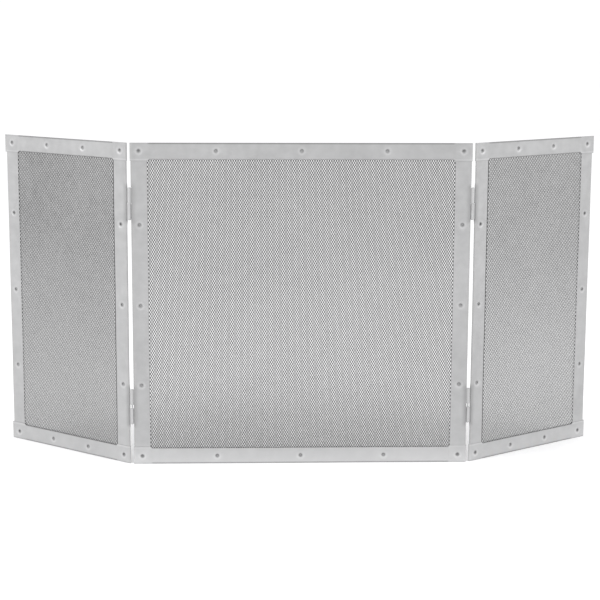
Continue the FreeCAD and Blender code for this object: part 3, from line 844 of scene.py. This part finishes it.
def metal_finish(name, dark, light, metallic, roughness, grain):
    """Bare steel: cloudy tone, fine mottling, faint drag marks and a fine grain, lightened by
    painted light and darkened by painted shade.
    """
    finish = Finish(name)
    place = finish.node("ShaderNodeTexCoord", {}, {}, "Object")
    dragged = finish.node("ShaderNodeMapping", {}, {"Vector": place, "Scale": DRAG_SCALE})
    clouds = finish.noise(place, *CLOUDS)
    mottle = finish.noise(place, *MOTTLE)
    marks = finish.ramp(finish.noise(dragged, 1.0, DRAG_DETAIL), *DRAG_RANGE)
    fine = finish.noise(place, grain, GRAIN_DETAIL)
    tone = finish.ramp(clouds * CLOUD_SHARE + mottle * (1 - CLOUD_SHARE), *TONE_RANGE)
    colour = finish.blend(tone, grey(dark), grey(light))
    colour = finish.blend(marks * DRAG_SHARE, colour, grey(light * DRAG_LIGHT))
    # painted light: floor bounce near the bottom, highlights along lips and round dimples
    colour = finish.blend(finish.mark("painted_light") * HIGHLIGHT_SHARE, colour, grey(light * HIGHLIGHT_GREY))
    # painted shade: the painted_shade mark darkens the steel towards a dark grey
    colour = finish.blend(finish.mark("painted_shade") * SHADE_SHARE, colour, grey(dark * SHADE_GREY))
    bump = finish.node("ShaderNodeBump", {}, {
        "Strength": RELIEF_STRENGTH,
        "Distance": RELIEF_HEIGHT,
        "Height": fine * GRAIN_SHARE + mottle * (1 - GRAIN_SHARE),
    })
    return finish.surfaced({
        "Base Color": colour,
        "Metallic": metallic,
        "Roughness": roughness + (mottle - 0.5) * ROUGHNESS_SPREAD,
        "Normal": bump,
    })


def paper_finish(name, level):
    """Plain matt studio paper for the floor."""
    return Finish(name).surfaced({"Base Color": grey(level), "Roughness": PAPER_ROUGHNESS})


def make_floor(finish):
    """A broad plain floor under the screen."""
    mesh = bpy.data.meshes.new("floor")
    sides = [(-1, -1), (1, -1), (1, 1), (-1, 1)]
    corners = [(across * FLOOR_REACH, back * FLOOR_REACH, FLOOR_HEIGHT) for across, back in sides]
    mesh.from_pydata(corners, [], [(0, 1, 2, 3)])
    mesh.materials.append(finish)
    floor = bpy.data.objects.new("floor", mesh)
    bpy.context.scene.collection.objects.link(floor)


def make_softbox(name, place, watts):
    """A soft square lamp that faces the lit point."""
    lamp = bpy.data.lights.new(name, "AREA")
    lamp.shape = "RECTANGLE"
    lamp.size = SOFTBOX_SIZE
    lamp.size_y = SOFTBOX_SIZE
    lamp.energy = watts
    holder = bpy.data.objects.new(name, lamp)
    bpy.context.scene.collection.objects.link(holder)
    toward = np.array(LIT_POINT) - np.array(place)
    yaw = math.atan2(-toward[0], toward[1])
    pitch = math.atan2(toward[2], math.hypot(toward[0], toward[1]))
    turn = Matrix.Rotation(yaw, 4, "Z") @ Matrix.Rotation(math.pi / 2 + pitch, 4, "X")
    holder.matrix_world = Matrix.Translation(place) @ turn


def make_room_light():
    """Even white light from all round."""
    world = bpy.data.worlds.new("studio")
    world.use_nodes = True
    background = world.node_tree.nodes["Background"]
    background.inputs["Color"].default_value = (1.0, 1.0, 1.0, 1.0)
    background.inputs["Strength"].default_value = ROOM_LIGHT
    bpy.context.scene.world = world


def make_camera():
    """A long lens a little above and to the left of the screen, looking slightly down."""
    lens = bpy.data.cameras.new("camera")
    lens.lens = LENS
    lens.sensor_width = SENSOR
    holder = bpy.data.objects.new("camera", lens)
    bpy.context.scene.collection.objects.link(holder)
    turn = (
        Matrix.Rotation(-math.radians(CAMERA_YAW), 4, "Z")
        @ Matrix.Rotation(math.pi / 2 - math.radians(CAMERA_PITCH), 4, "X")
        @ Matrix.Rotation(math.radians(CAMERA_ROLL), 4, "Z")
    )
    holder.matrix_world = Matrix.Translation(CAMERA_PLACE) @ turn
    bpy.context.scene.camera = holder


def make_panel(panel, side_stiles, bands, finishes):
    """Every piece of one panel of the screen, but for the pins."""
    strip_steel, mesh_steel, rivet_steel, hinge_steel = finishes
    mesh_low, mesh_high = panel.span(f"{panel.prefix}_mesh")
    stile_low, stile_high = panel.span(f"{panel.prefix}_{side_stiles[1]}_stile")
    mesh_thickness = mesh_high[BACK] - mesh_low[BACK]
    half_stile = (stile_high[BACK] - stile_low[BACK]) / 2
    gauge = half_stile - mesh_thickness / 2
    stile_inner = min(abs(stile_low[ACROSS]), abs(stile_high[ACROSS]))
    for which in ("top", "bottom"):
        make_rail(panel, which, gauge, half_stile, stile_inner, strip_steel)
    for which in side_stiles:
        make_stile(panel, which, gauge, strip_steel)
    make_rivets(panel, half_stile, gauge, stile_inner, rivet_steel)
    bottom_lip = panel.span(f"{panel.prefix}_bottom_rail")[1][UP]
    top_lip = panel.span(f"{panel.prefix}_top_rail")[0][UP]
    make_expanded_metal(panel, (stile_inner, bottom_lip, top_lip), bands, mesh_steel)
    for hinge in panel.hinges:
        make_leaf(panel, hinge, mesh_thickness, hinge_steel)


def main():
    """The whole screen, and the studio it stands in."""
    finishes = [metal_finish(name, *steel) for name, steel in STEELS.items()]
    centre = Panel("centre_panel", "centre", ("left", "right"))
    left = Panel("left_wing", "left_wing", ("left",))
    right = Panel("right_wing", "right_wing", ("right",))
    make_panel(centre, ("left", "right"), 4, finishes)
    make_panel(left, ("inner", "outer"), 2, finishes)
    make_panel(right, ("inner", "outer"), 2, finishes)
    for hinge in centre.hinges:
        make_pin(centre, hinge, finishes[-1])
    make_floor(paper_finish("studio paper", PAPER_LEVEL))
    for name, (place, watts) in SOFTBOXES.items():
        make_softbox(name, place, watts)
    make_room_light()
    make_camera()
    bpy.context.scene.view_settings.view_transform = "Standard"


main()
